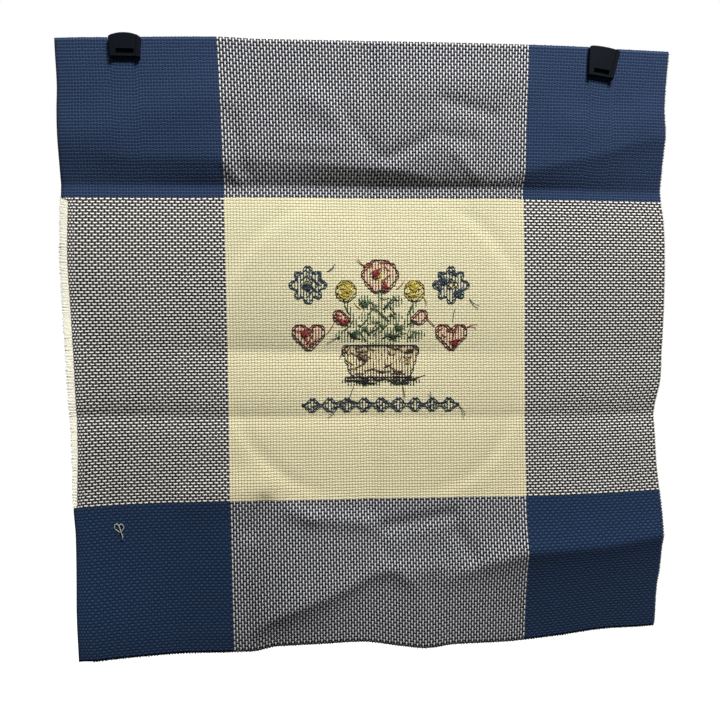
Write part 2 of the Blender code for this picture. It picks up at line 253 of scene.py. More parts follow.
# %% [markdown]
# ## The folds
#
# The cloth was kept folded flat, so three creases run across it. Seen from the front each is
# a valley: sharp at the bottom, with the cloth swelling between one and the next. Below and
# beside them are a few ridges, the same shape turned over. A fold's depth and its reach above
# and below change along it, so each fold is a short table. Softer crumples are bumps about a
# line. A ring round the middle is what an embroidery hoop pressed into the cloth: a shallow
# groove.
#
# A cloth simulation would find folds of its own, but not these, so they are listed here.

# %% Creases, crumples and the hoop's mark
# (across, down, depth, reach above the fold, reach below it). A depth under 0 is a ridge.
FOLDS = {
    "upper crease": (
        (-188.7, 86.6, 5.6, 22, 22), (-150, 86.7, 6.8, 18, 26), (-115, 86.9, 7.8, 14, 32),
        (-92, 87.2, 7.0, 12, 34), (-60, 87.4, 7.4, 12, 40), (-30, 87.6, 9.0, 12, 50),
        (5, 87.8, 9.6, 11, 60), (30, 87.8, 8.6, 9, 60), (55, 87.8, 6.6, 6.5, 55),
        (80, 87.8, 4.4, 4.5, 40), (100, 88.0, 5.2, 8, 32), (125, 88.1, 5.2, 11, 28),
        (150, 88.2, 5.4, 16, 26), (188.7, 88.2, 5.2, 24, 26),
    ),
    "upper left ridge": (
        (-188.7, 66.0, 0.0, 14, 8), (-155, 70.0, -1.0, 12, 7), (-93, 71.0, -1.4, 12, 8),
        (-60, 73.0, -1.4, 10, 8), (-30, 74.5, -2.2, 10, 7), (0, 76.0, -2.3, 9, 6),
        (25, 79.0, -1.5, 7, 5), (48, 85.0, 0.0, 6, 5), (188.7, 85.0, 0.0, 6, 5),
    ),
    "upper right ridge": (
        (-188.7, 84.0, 0.0, 10, 8), (60, 86.0, 0.0, 10, 6), (98, 77.0, -1.6, 12, 7),
        (146, 65.5, -2.4, 18, 9), (188.7, 54.0, -2.5, 20, 12),
    ),
    "middle crease": (
        (-188.7, 187.0, 0.5, 14, 14), (-130, 188.0, 1.1, 14, 15), (-75, 189.5, 3.2, 15, 16),
        (-20, 190.5, 2.6, 14, 15), (60, 190.5, 1.1, 12, 14), (120, 191.0, 0.5, 12, 14),
        (160, 192.0, 0.7, 14, 14), (188.7, 192.5, 1.2, 14, 12),
    ),
    "lower crease": (
        (-188.7, 227.3, 1.7, 4.5, 8), (-140, 228.5, 1.9, 5.5, 7), (-93, 230.7, 1.7, 7, 7),
        (-4, 231.0, 1.5, 7, 8), (50, 231.5, 1.2, 7, 9), (95, 231.5, 1.0, 6, 10),
        (140, 232.0, 2.2, 9, 12), (188.7, 232.2, 3.2, 16, 11),
    ),
    "hem ridge, left": (
        (-188.7, 366.0, 0.0, 20, 10), (-86, 366.0, -1.2, 26, 10), (-74, 360.0, -4.4, 34, 9),
        (-58, 353.0, -6.6, 44, 12), (-39, 346.0, -5.6, 44, 12), (-23, 339.5, -4.4, 34, 9),
        (-13, 335.0, -3.4, 24, 6), (-3, 330.0, -3.0, 18, 5), (8, 328.5, -3.0, 16, 5),
        (19, 336.0, -1.6, 10, 7), (34, 345.0, 0.0, 10, 8), (188.7, 345.0, 0.0, 10, 8),
    ),
    "hem ridge, right": (
        (-188.7, 338.0, 0.0, 8, 10), (30, 340.0, 0.0, 8, 10), (55, 330.0, -3.2, 12, 11),
        (76, 323.0, -6.4, 15, 15), (98, 318.0, -8.6, 24, 20), (148, 316.0, -8.8, 29, 22),
        (188.7, 312.5, -8.2, 26, 22),
    ),
}
FOLD_ROUND = 1.4  # the radius that the cloth keeps at the bottom of a fold

# (from across, down, to across, down, height towards the viewer, half width)
CRUMPLES = (
    (-4, 8, -5, 290, -0.9, 6),
    (-150, 38, -100, 34, 1.4, 16),
    (-192, 56, -160, 58, 1.6, 14),
    (-89, 45, -81, 78, -1.1, 4.2),
    (-93, 74, -85, 84, 1.0, 3),
    (-57, 62, -26, 63, 0.9, 3.5),
    (-37, 37, -27, 43, 1.7, 8),
    (-21, 42, 0, 68, -1.2, 5),
    (8, 70, 29, 60, -1.8, 4.0),
    (34, 55, 62, 59, -1.1, 4),
    (44, 35, 74, 43, -1.3, 4.2),
    (50, 67, 64, 80, 1.0, 3.5),
    (20, 28, 90, 22, 1.0, 12),
    (128, 44, 172, 40, 1.6, 14),
    (-194, 180, -194, 400, 3.0, 15),
    (-115, 281, -76, 277, 1.6, 12),
    (-200, 374, -166, 376, 6.5, 44),
    (-118, 372, -106, 372, -3.6, 46),
    (-55, 290, -44, 294, 1.4, 5),
    (-44, 294, -9, 298, 1.6, 5),
    (-73, 284, -82, 303, -1.5, 5),
    (5, 301.5, 47, 294, -1.9, 4.5),
    (-1, 310, 8, 322, -1.0, 4),
    (51, 306, 61, 322, -1.6, 5),
    (22, 330, 38, 328, 1.6, 8),
    (-60, 120, 60, 150, 1.0, 40),
)
HEM_CURL = 2.0  # the loose hem hangs this far back from the plumb plane
HEM_CURL_FROM = 330.0

HOOP_CENTRE = (0.0, 187.0)
HOOP_RADIUS = 101.0  # an 8 inch hoop
HOOP_GROOVE = 0.6  # a touch deeper than the construction model's, so that it shows
HOOP_GROOVE_WIDTH = 4.5
HOOP_FADE = 14.0  # it was pressed out again beside the bands

# name, x and z of the middle of its top, height
CLIPS = (("clip_left", -149.1, 0.0, 14.2), ("clip_right", 145.3, -0.6, 18.8))
GRIP_FLAT = 22.0  # a clip holds the cloth flat this far round its middle
GRIP_FADE = 52.0  # and lets it fold freely this far out
TANGENT = 0.5  # a step along the cloth, to find which way its face looks


def fold_depth(rows, across, down):
    """How far back one fold across the cloth takes the point."""
    line, depth, above, below = between(rows, across)
    distance = down - line
    reach = below if distance > 0.0 else above
    rounded = math.hypot(distance, FOLD_ROUND) - FOLD_ROUND
    return depth * math.exp(-rounded / reach)


def crumple_height(row, across, down):
    """How far forward one soft crumple brings the point."""
    run_across, run_down = row[2] - row[0], row[3] - row[1]
    off_across, off_down = across - row[0], down - row[1]
    share = (off_across * run_across + off_down * run_down) / (run_across ** 2 + run_down ** 2)
    share = min(max(share, 0.0), 1.0)
    distance = math.hypot(off_across - run_across * share, off_down - run_down * share)
    return row[4] * math.exp(-((distance / row[5]) ** 2))


def hoop_height(across, down):
    """How far forward the hoop's mark brings the point."""
    outside = math.hypot(across - HOOP_CENTRE[0], down - HOOP_CENTRE[1]) - HOOP_RADIUS
    past = max(BAND_TOP - down, down - BAND_FOOT, BAND_LEFT - across, across - BAND_RIGHT)
    kept = fade(past + HOOP_FADE, HOOP_FADE)
    return -HOOP_GROOVE * kept * math.exp(-((outside / HOOP_GROOVE_WIDTH) ** 2))


def held_flat(x, z):
    """0 where a clip holds the cloth flat, 1 where it is free to fold."""
    free = 1.0
    for _, clip_x, clip_z, height in CLIPS:
        distance = math.hypot(x - clip_x, z - clip_z + height / 2)
        free *= 1.0 - fade(distance - GRIP_FLAT, GRIP_FADE - GRIP_FLAT)
    return free


def cloth_point(across, down):
    """A point of the cloth's middle layer, in metres."""
    x, z = plumb_place(across, down)
    depth = sum(fold_depth(rows, across, down) for rows in FOLDS.values())
    depth -= sum(crumple_height(row, across, down) for row in CRUMPLES)
    depth -= hoop_height(across, down)
    curl = min(max((down - HEM_CURL_FROM) / (HEM - HEM_CURL_FROM), 0.0), 1.0)
    depth += HEM_CURL * curl * curl
    return Vector((x, depth * held_flat(x, z), z)) * MM


def over_cloth(across, down, height):
    """A point that stands off the middle layer, towards the viewer where height is above 0."""
    here = cloth_point(across, down)
    rightward = cloth_point(across + TANGENT, down) - here
    downward = cloth_point(across, down + TANGENT) - here
    return here + downward.cross(rightward).normalized() * height * MM


print("deepest of the upper fold, mm:", round(cloth_point(5, 87).y / MM, 1))

# %% [markdown]
# ## Colours and nodes
#
# Colours are written as they are mixed on a screen, in sRGB hex, and one function turns them
# to the linear values that a shader wants. One more adds a node with its settings and its
# links, so that a material reads as a list of what feeds what. The finishes of the cotton and
# the plastic all draw on a speckle of a real size, and all end in a colour and a bump, so two
# more helpers do that for each of them.

# %% Colour and node helpers
def linear(colour):
    """An sRGB hex colour as linear red, green, blue and 1."""
    parts = [int(colour[place:place + 2], 16) / 255 for place in (0, 2, 4)]
    return (*[part / 12.92 if part <= 0.04045 else ((part + 0.055) / 1.055) ** 2.4
              for part in parts], 1.0)


def node(tree, kind, feeds=None, **settings):
    """Adds one node and returns its outputs by name. Feeds go to inputs by name or number,
    and are values or the outputs of other nodes."""
    made = tree.nodes.new(kind)
    for name, value in settings.items():
        setattr(made, name, value)
    for place, value in (feeds or {}).items():
        named = [entry for entry in made.inputs if entry.enabled and entry.name == place]
        entry = made.inputs[place] if isinstance(place, int) else named[0]
        if isinstance(value, bpy.types.NodeSocket):
            tree.links.new(value, entry)
        else:
            entry.default_value = value
    return {output.name: output for output in made.outputs if output.enabled}


def new_finish(name, **values):
    """A new material, its node tree and its shader, with values set on the shader's sockets."""
    made = bpy.data.materials.new(name)
    made.use_nodes = True
    shader = made.node_tree.nodes["Principled BSDF"]
    for socket, value in values.items():
        shader.inputs[socket.replace("_", " ")].default_value = value
    return made, made.node_tree, shader


def speckle(tree, grain, detail=2.0):
    """Light and dark specks of a size in metres, laid through the object's own space."""
    metres = node(tree, "ShaderNodeTexCoord")["Object"]
    return node(tree, "ShaderNodeTexNoise", {"Vector": metres, "Scale": 1 / grain,
                "Detail": detail})["Fac"]


def finish_with(tree, shader, colour, height, strength, depth):
    """Gives a shader its colour, and a bump that is as deep as `depth` metres."""
    bump = node(tree, "ShaderNodeBump", {"Strength": strength, "Distance": depth,
                "Height": height})["Normal"]
    tree.links.new(colour, shader.inputs["Base Color"])
    tree.links.new(bump, shader.inputs["Normal"])


print("ecru in linear:", [round(part, 2) for part in linear("efeadb")])

# %% [markdown]
# ## The woven cotton
#
# Cross-stitch cloth is a plain weave of thick, soft yarns. Over a pale warp and a navy weft
# it looks like upright dashes, over a navy warp and a pale weft like level ones. Both yarns
# are ecru in the middle, where only the holes between them show, and navy in the corners.
#
# The pattern could be modelled yarn by yarn, but 41,000 crossings are too many. Here the
# shader works it out as a weaver would. It counts threads, from the cloth's own UV map. Each
# yarn rises and dips once a crossing, like a cosine, and is round, so it falls away at its
# sides. Whichever yarn is higher is the one that shows. Its height also gives the bump, and
# says how much of the yarn is in its own shade.
#
# Yarn-dyed cotton is matte, with a faint sheen from its loose fibres. Painted light and shade
# change from top to hem: near the top the navy has a painted sheen, and near the hem the ecru's
# crowns are painted lighter and its sides in deeper shade. Along the hoop's line the ecru is a
# little lighter.

# %% The woven cotton's finish
# crown of a weft, crown of a warp, and the side of either
NAVY_TOP_PAINTED_SHEEN = ("12243f", "192d4c", "415270")  # near the top, with a painted sheen that makes its sides paler than its crowns
NAVY_NEAR_HEM = ("2e4463", "142c4b", "021026")  # near the hem
ECRU_NEAR_TOP = ("f0e9c5", "e0d9b2", "8e8760")  # near the top
ECRU_HEM_PAINTED_LIGHT_AND_SHADE = ("fff6d2", "f2e6b6", "6c5e36")  # near the hem, its sides in deeper painted shade and its crowns painted lighter
NAVY_BY_ECRU = ("1c2132", "322a27", "161418")  # where a navy yarn crosses an ecru one
ECRU_BY_NAVY = ("fffdf5", "e9ebf2", "a6a5a2")
# how wide the warp and the weft lie, in shares of their pitch
PLAIN_WIDTH = (0.9, 0.72, 1.0)  # where both are of one colour
NAVY_WIDTH = (0.45, 0.38, 1.0)
ECRU_WIDTH = (0.36, 0.42, 1.0)
YARN_RISE = 0.4  # how far a yarn swings, against how far it falls away at its sides
YARN_FALL = 0.6
YARN_FLAT = 2.6  # over 1, a yarn lies flat on top before it dips
YARN_SHADE = (-0.3, 0.2)  # a yarn is in its own shade below the first height, lit above the other
YARN_HEIGHT = 0.35 * MM
YARN_BUMP = 0.6
WANDER = 0.3  # how far yarns stray from a straight line, in pitches
WANDER_RATE = 0.45  # and how often, to a pitch
HOOP_LINE = WARP_PITCH  # the ecru is palest this close to the hoop's line
HOOP_BAND = 7.0  # and not at all this far from it
HOOP_PALER, OFF_HOOP = 1.03, 0.98  # what that makes of the ecru's colour, there and elsewhere
FIBRE = 0.3 * MM  # a real one is a tenth as thick, too fine to show
FIBRE_SHADES = (0.8, 1.2)
HALF_PI = math.pi / 2


def woven_cotton():
    """The weave of the whole cloth, its colours chosen by counting threads."""
    made, tree, shader = new_finish("woven cotton, yarn-dyed", Roughness=0.92,
                                    Sheen_Weight=0.05, Sheen_Roughness=0.5,
                                    Specular_IOR_Level=0.2)
    place = node(tree, "ShaderNodeUVMap", uv_map="threads")["UV"]
    stray = node(tree, "ShaderNodeTexNoise", {"Vector": place, "Scale": WANDER_RATE,
                 "Detail": 1.0})
    stray = node(tree, "ShaderNodeVectorMath", {0: stray["Color"], 1: (WANDER, WANDER, 0),
                 2: (-WANDER / 2, -WANDER / 2, 0)}, operation="MULTIPLY_ADD")["Vector"]
    count = node(tree, "ShaderNodeVectorMath", {0: place, 1: stray}, operation="ADD")["Vector"]
    yarn = node(tree, "ShaderNodeVectorMath", {0: count}, operation="FLOOR")["Vector"]
    within = node(tree, "ShaderNodeVectorMath", {0: count}, operation="FRACTION")["Vector"]
    aside = node(tree, "ShaderNodeVectorMath", {0: within, 1: (2, 2, 0), 2: (-1, -1, 0)},
                 operation="MULTIPLY_ADD")["Vector"]

    # The warp is in X and the weft in Y. A warp swings as the wefts are counted, and a weft
    # as the warps are, half a swing apart.
    counts = node(tree, "ShaderNodeSeparateXYZ", {"Vector": count})
    crossed = node(tree, "ShaderNodeCombineXYZ", {"X": counts["Y"], "Y": counts["X"]})["Vector"]
    run = node(tree, "ShaderNodeVectorMath", {0: crossed, 1: yarn},
               operation="SUBTRACT")["Vector"]
    turn = node(tree, "ShaderNodeVectorMath", {0: run, 1: (math.pi, math.pi, 0),
                2: (-HALF_PI, HALF_PI, 0)}, operation="MULTIPLY_ADD")["Vector"]
    swing = node(tree, "ShaderNodeVectorMath", {0: turn}, operation="COSINE")["Vector"]
    swing = node(tree, "ShaderNodeVectorMath", {0: swing, "Scale": YARN_RISE * YARN_FLAT},
                 operation="SCALE")["Vector"]
    swing = node(tree, "ShaderNodeVectorMath", {0: swing, 1: (YARN_RISE, YARN_RISE, 0)},
                 operation="MINIMUM")["Vector"]
    swing = node(tree, "ShaderNodeVectorMath", {0: swing, 1: (-YARN_RISE, -YARN_RISE, 0)},
                 operation="MAXIMUM")["Vector"]

    # A yarn is ecru between the band lines, and navy outside them.
    middle = ((WARPS - 1) / 2, (WEFTS - 1) / 2, 0)
    out = node(tree, "ShaderNodeVectorMath", {0: yarn, 1: middle},
               operation="SUBTRACT")["Vector"]
    out = node(tree, "ShaderNodeVectorMath", {0: out}, operation="ABSOLUTE")["Vector"]
    out = node(tree, "ShaderNodeSeparateXYZ", {"Vector": out})
    pale_warp = node(tree, "ShaderNodeMath", {0: out["X"], 1: WARPS / 2},
                     operation="LESS_THAN")["Value"]
    pale_weft = node(tree, "ShaderNodeMath", {0: out["Y"], 1: WEFTS / 2},
                     operation="LESS_THAN")["Value"]
    mixed = node(tree, "ShaderNodeMath", {0: pale_warp, 1: pale_weft},
                 operation="SUBTRACT")["Value"]
    mixed = node(tree, "ShaderNodeMath", {0: mixed}, operation="ABSOLUTE")["Value"]

    pale = node(tree, "ShaderNodeCombineXYZ", {"X": pale_warp, "Y": pale_weft})["Vector"]
    wider = [ecru - navy for ecru, navy in zip(ECRU_WIDTH, NAVY_WIDTH)]
    width = node(tree, "ShaderNodeVectorMath", {0: pale, 1: wider, 2: NAVY_WIDTH},
                 operation="MULTIPLY_ADD")["Vector"]
    width = node(tree, "ShaderNodeMix", {"Factor": mixed, "A": PLAIN_WIDTH, "B": width},
                 data_type="VECTOR")["Result"]
    side = node(tree, "ShaderNodeVectorMath", {0: aside, 1: width},
                operation="DIVIDE")["Vector"]
    for _ in range(2):
        side = node(tree, "ShaderNodeVectorMath", {0: side, 1: side},
                    operation="MULTIPLY")["Vector"]
    height = node(tree, "ShaderNodeVectorMath", {0: side, 1: (-YARN_FALL, -YARN_FALL, 0),
                  2: swing}, operation="MULTIPLY_ADD")["Vector"]
    height = node(tree, "ShaderNodeSeparateXYZ", {"Vector": height})
    warp_over = node(tree, "ShaderNodeMath", {0: height["X"], 1: height["Y"]},
                     operation="GREATER_THAN")["Value"]
    top = node(tree, "ShaderNodeMath", {0: height["X"], 1: height["Y"]},
               operation="MAXIMUM")["Value"]
    is_pale = node(tree, "ShaderNodeMix", {"Factor": warp_over, "A": pale_weft,
                   "B": pale_warp})["Result"]

    lit = node(tree, "ShaderNodeMapRange", {"Value": top, "From Min": YARN_SHADE[0],
               "From Max": YARN_SHADE[1]}, interpolation_type="SMOOTHSTEP")["Result"]
    # How far towards the hem a point lies. This sets how much of the top's or the hem's painted
    # light and shade the navy and the ecru take.
    low = node(tree, "ShaderNodeMapRange", {"Value": counts["Y"], "From Min": 0.0,
               "From Max": float(WEFTS)})["Result"]

    def blend(share, none, whole):
        """One colour going over into another."""
        return node(tree, "ShaderNodeMix", {"Factor": share, "A": none, "B": whole},
                    data_type="RGBA")["Result"]

    def yarn_shades(weft_crown, warp_crown, side):
        """A colour of yarn, from its shaded side to the crown of whichever lies on top."""
        crown = blend(warp_over, linear(weft_crown), linear(warp_crown))
        return blend(lit, linear(side), crown)

    navy = blend(low, yarn_shades(*NAVY_TOP_PAINTED_SHEEN), yarn_shades(*NAVY_NEAR_HEM))
    ecru = blend(low, yarn_shades(*ECRU_NEAR_TOP), yarn_shades(*ECRU_HEM_PAINTED_LIGHT_AND_SHADE))
    hoop = ((HOOP_CENTRE[0] - BAND_LEFT) / WARP_PITCH,
            (HOOP_CENTRE[1] - BAND_TOP) / WEFT_PITCH, 0)
    off_hoop = node(tree, "ShaderNodeVectorMath", {0: place, 1: hoop},
                    operation="DISTANCE")["Value"]
    off_hoop = node(tree, "ShaderNodeMath", {0: off_hoop, 1: HOOP_RADIUS / WARP_PITCH},
                    operation="SUBTRACT")["Value"]
    off_hoop = node(tree, "ShaderNodeMath", {0: off_hoop}, operation="ABSOLUTE")["Value"]
    # The ecru is made a little lighter along the hoop's line and a little darker elsewhere.
    by_hoop_line = node(tree, "ShaderNodeMapRange", {"Value": off_hoop,
                  "From Min": HOOP_LINE / WARP_PITCH, "From Max": HOOP_BAND / WARP_PITCH,
                  "To Min": HOOP_PALER, "To Max": OFF_HOOP},
                  interpolation_type="SMOOTHSTEP")["Result"]
    ecru = node(tree, "ShaderNodeVectorMath", {0: ecru, "Scale": by_hoop_line},
                operation="SCALE")["Vector"]
    plain = blend(is_pale, navy, ecru)
    beside = blend(is_pale, yarn_shades(*NAVY_BY_ECRU), yarn_shades(*ECRU_BY_NAVY))
    colour = blend(mixed, plain, beside)

    # Single fibres catch the light a little more or less than their neighbours.
    fibre = node(tree, "ShaderNodeMapRange", {"Value": speckle(tree, FIBRE),
                 "To Min": FIBRE_SHADES[0], "To Max": FIBRE_SHADES[1]})["Result"]
    colour = node(tree, "ShaderNodeVectorMath", {0: colour, "Scale": fibre},
                  operation="SCALE")["Vector"]
    finish_with(tree, shader, colour, top, YARN_BUMP, YARN_HEIGHT)
    return made


cotton = woven_cotton()
print(cotton.name, "has", len(cotton.node_tree.nodes), "nodes")

# %% [markdown]
# ## Cutting and hanging the cloth
#
# The sheet starts as a grid, which is the cloth laid flat. While it is flat, each corner of
# each face takes its thread count as its UV, so the weave will follow the cloth wherever it
# hangs. Then every point moves to its place on the folds. Rows of points are closer together
# where a crease is sharp. A Solidify modifier gives the sheet its thickness.

# %% The cloth
# (from, to, steps), closest at the creases
ROW_BANDS = (
    (TOP, 74.0, 38), (74.0, 100.0, 30), (100.0, 174.0, 38), (174.0, 198.0, 16),
    (198.0, 218.0, 10), (218.0, 242.0, 20), (242.0, 280.0, 19), (280.0, 286.0, 6),
    (286.0, HEM, 46),
)
EDGE_COLUMNS = 4  # these follow the woven edge
EDGE_COLUMNS_REACH = 9.0  # and take up this much of the cloth's width
COLUMN_BANDS = ((LEFT, LEFT + EDGE_COLUMNS_REACH, EDGE_COLUMNS),
                (LEFT + EDGE_COLUMNS_REACH, RIGHT, 196))


def stepped(bands):
    """The places of a grid's lines, from bands of (from, to, steps)."""
    places = [bands[0][0]]
    for start, end, steps in bands:
        places += [start + (end - start) * (step + 1) / steps for step in range(steps)]
    return places


def add_piece(name, maker, surface):
    """A named object made from a bmesh, with its finish."""
    mesh = bpy.data.meshes.new(name)
    maker.to_mesh(mesh)
    maker.free()
    mesh.materials.append(surface)
    mesh.shade_smooth()
    piece = bpy.data.objects.new(name, mesh)
    bpy.context.scene.collection.objects.link(piece)
    return piece


def hung_cloth():
    """The woven sheet, without its fringe."""
    columns, rows = stepped(COLUMN_BANDS), stepped(ROW_BANDS)
    maker = bmesh.new()
    grid = bmesh.ops.create_grid(maker, x_segments=len(columns) - 1,
                                 y_segments=len(rows) - 1, size=0.5)
    points = sorted(grid["verts"], key=lambda point: (-round(point.co.y, 5), point.co.x))
    counts = {}
    for index, point in enumerate(points):
        row, column = divmod(index, len(columns))
        down = rows[row]
        across = columns[column]
        if column < EDGE_COLUMNS:
            edge = woven_left(down)
            across = edge + (columns[EDGE_COLUMNS] - edge) * column / EDGE_COLUMNS
        counts[point] = thread_count(across, down)
        point.co = cloth_point(across, down)
    threads = maker.loops.layers.uv.new("threads")
    for face in maker.faces:
        for corner in face.loops:
            corner[threads].uv = counts[corner.vert]
    bmesh.ops.recalc_face_normals(maker, faces=maker.faces)
    sheet = add_piece("cloth_woven", maker, cotton)
    wall = sheet.modifiers.new("thickness", "SOLIDIFY")
    wall.thickness = CLOTH_THICKNESS * MM
    wall.offset = 0.0
    return sheet


cloth = hung_cloth()
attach(cloth, "root")
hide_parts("cloth")
print(cloth.name, "has", len(cloth.data.polygons), "faces on each side")

# %% [markdown]
# ## Threads
#
# Fringe, frayed ends, stitches and loose tails are all lengths of thread. A curve with a
# round bevel is the simplest thread in Blender: its points are the path, and the bevel gives
# the thickness. All the threads of one colour go into one curve, which is then turned into a
# mesh, with the end caps joined on so that every thread is closed.

# %% Laying threads
MERGED = 0.001 * MM  # points this close are one


def thread_piece(name, paths, thickness, surface):
    """One mesh piece of many round threads, each along a path of points in metres."""
    curve = bpy.data.curves.new(name, "CURVE")
    curve.dimensions = "3D"
    curve.bevel_depth = thickness * MM / 2
    curve.bevel_resolution = 1
    curve.use_fill_caps = True
    for path in paths:
        spline = curve.splines.new("POLY")
        spline.points.add(len(path) - 1)
        for point, place in zip(spline.points, path):
            point.co = (*place, 1.0)
    pattern = bpy.data.objects.new(name, curve)
    bpy.context.scene.collection.objects.link(pattern)
    shaped = pattern.evaluated_get(bpy.context.evaluated_depsgraph_get())
    maker = bmesh.new()
    drawn = bpy.data.meshes.new_from_object(shaped)
    maker.from_mesh(drawn)
    bpy.data.objects.remove(pattern)
    bpy.data.meshes.remove(drawn)
    bmesh.ops.remove_doubles(maker, verts=maker.verts, dist=MERGED)
    bmesh.ops.recalc_face_normals(maker, faces=maker.faces)
    piece = add_piece(name, maker, surface)
    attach(piece, "root")
    print(name, "-", len(paths), "threads,", len(piece.data.polygons), "faces")
    return piece


# %% [markdown]
# ## Frayed edges
#
# The edges are raw. Along the left one the last warps have come away, so the wefts stand out
# as a fringe, ecru beside the middle and navy beside the corners. On the other edges only
# the tips of the cut yarns show. A yarn is a bundle, so each is laid as a few finer strands
# that part a little towards their ends.

# %% Fringe and cut ends
STRAND = 0.42  # thickness of one strand of a yarn
FRINGE_STRANDS = 4
FRINGE_YARN = 1.35  # what these lie across, so that neighbouring yarns part a little
FRINGE_RISE = 0.5  # the loose weft ends rise a little towards their tips
CUT_STRANDS = 3
TUCK = 1.4  # how far a strand starts inside the woven edge
CUT_END = 0.7  # how far a cut yarn stands out
FRINGE_OUT = 0.5  # and the fringe, past the line that the cloth was cut to
LOOSE_SHADE = (0.3, 0.6)  # how much speckle is in the yarn's shade, and how much is lit
LOOSE_BUMP, LOOSE_HEIGHT = 0.5, 0.05 * MM  # of the fibres on a loose yarn
UNEVEN = (0.88, 1.06)  # what share of its length a strand really has
STRAY_FRINGE, STRAY_HEAD, STRAY_CUT = 0.3, 0.2, 0.25  # how far the tips stray sideways


def yarn_finish(name, crown, side, roughness=0.95, shine=0.2):
    """Loose yarn: matte like the cloth's own, unless it is told to shine, with its fibres
    lighter and darker."""
    made, tree, shader = new_finish(name, Roughness=roughness, Sheen_Weight=0.15,
                                    Sheen_Roughness=0.5, Specular_IOR_Level=shine)
    fibre = speckle(tree, FIBRE)
    share = node(tree, "ShaderNodeMapRange", {"Value": fibre, "From Min": LOOSE_SHADE[0],
                 "From Max": LOOSE_SHADE[1]})["Result"]
    colour = node(tree, "ShaderNodeMix", {"Factor": share, "A": linear(side),
                  "B": linear(crown)}, data_type="RGBA")["Result"]
    finish_with(tree, shader, colour, fibre, LOOSE_BUMP, LOOSE_HEIGHT)
    return made


def loose_strand(start, run, chance, spread, points=4):
    """A strand that leaves the cloth at a flat place and runs on by (across, down)."""
    slip = chance.uniform(-spread, spread)
    sway = chance.uniform(-spread, spread)
    out = chance.uniform(*UNEVEN)
    path = []
    for step in range(points):
        share = step / (points - 1)
        bend = slip * share * share
        across = start[0] + run[0] * share * out + (bend if run[0] == 0 else 0.0)
        down = start[1] + run[1] * share * out + (bend if run[0] != 0 else 0.0)
        path.append(cloth_point(across, down) + Vector((0, sway * share * share, 0)) * MM)
    return path


def edge_strands():
    """All the strands that stand out of the cloth's edges, as {"ecru": paths, "navy": paths}."""
    chance = random.Random(4)
    strands = {"ecru": [], "navy": []}
    for row in range(-int(TOP_WEFTS), WEFTS + int(FOOT_WEFTS)):
        yarn = "ecru" if 0 <= row < WEFTS else "navy"
        middle = flat_place(0, row + 0.5)[1]
        if yarn == "ecru":
            start = woven_left(middle) + TUCK
            for strand in range(FRINGE_STRANDS):
                down = middle + ((strand + 0.5) / FRINGE_STRANDS - 0.5) * FRINGE_YARN
                run = (LEFT - FRINGE_OUT - start, -FRINGE_RISE)
                strands[yarn].append(loose_strand((start, down), run, chance, STRAY_FRINGE,
                                                  points=5))
        for strand in range(CUT_STRANDS):
            down = middle + (strand + 0.5 - CUT_STRANDS / 2) * STRAND
            strands[yarn].append(loose_strand((RIGHT - TUCK, down),
                                              (TUCK + CUT_END, 0.0), chance, STRAY_CUT))
    for column in range(-int(LEFT_WARPS), WARPS + int(RIGHT_WARPS)):
        yarn = "ecru" if 0 <= column < WARPS else "navy"
        middle = flat_place(column + 0.5, 0)[0]
        for strand in range(CUT_STRANDS):
            across = middle + (strand + 0.5 - CUT_STRANDS / 2) * STRAND
            strands[yarn].append(loose_strand((across, TOP + TUCK), (0.0, -TUCK - CUT_END / 3),
                                              chance, STRAY_HEAD))
            strands[yarn].append(loose_strand((across, HEM - TUCK), (0.0, TUCK + CUT_END),
                                              chance, STRAY_CUT))
    return strands


loose_ecru = yarn_finish("loose cotton yarn, ecru", "fffbe4", "cfc9a6")
loose_navy = yarn_finish("loose cotton yarn, navy", "2c3f5c", "0e1c33")
edge_paths = edge_strands()
fringe_ecru = thread_piece("fringe_ecru", edge_paths["ecru"], STRAND, loose_ecru)
fringe_navy = thread_piece("fringe_navy", edge_paths["navy"], STRAND, loose_navy)

# %% [markdown]
# ## The chart
#
# Cross-stitch is worked from a chart. One letter here is one square of the weave, and a dot
# is bare cloth. The design is a sampler made up for this lesson: a basket of flowers between
# stars and hearts, above a band of lozenges. The two halves of the basket mirror each
# other, so only one is charted. The last column of a half is the middle of the whole.

# %% The chart
HALF_BASKET = """
..............rrr
............rrprr
...........rrpprR
...........rpprRr
..........rrpprry
..........rrRrryy
...........rpRryy
...yyy.....rrprRr
..yyyyy.....rpprr
.yyybyyy.....rrrr
.yybRbyy......rrg
.yyybyyy........g
..yyyyy...gg....g
...yyy...gGGg...g
....g....gGGGg..g
....g.....gGGGg.g
.....g......gggGg
.rr..g.........Gg
rppr..g...ggg...g
rpppr.g..gGGGg..g
.rpppr.g..gGGGg.g
..rrgg.g...gggGgg
.....gggg......Gg
........gg.ggg..g
..gggg...ggGGGg.g
.gGGGGg..g.gGGGgg
..gGGGGgggg.gggGg
...gggg...gg...Gg
............ggggg
....bbbbbbbbbbbbb
...booobooobooobo
...bobobobobobobo
....booobooobooob
....boboboboboboo
....ooobooobooobo
.....bobobobobobo
.....booobooobooo
.....bobobobobobo
......bbbbbbbbbbb
......bRbRbRbRbRb
"""
STAR = """
......x......
.....xxx.....
..xx.xxx.xx..
..xxxxxxxxx..
...xxxxxxx...
.xxxxxyxxxxx.
xxxxxyyyxxxxx
.xxxxxyxxxxx.
...xxxxxxx...
..xxxxxxxxx..
..xx.xxx.xx..
.....xxx.....
......x......
"""
HEART = """
.rrr...rrr.
rpprr.rpprr
rpprrRrrrRr
rprrrrrrrRr
.rrrrrrrRr.
..rrrrrRr..
...rrrRr...
....rRr....
.....r.....
"""
LOZENGE = """
...t...
..ttt..
ttttttt
..ttt..
...t...
"""
GROUND = """
.kkkkkkkkkkkkk..kkkkkkkkkk.
kkkkkkkkkkkkkkkkkkkkkkkkkkk
..kkkkkkkkkkk....kkkkkkkk..
"""
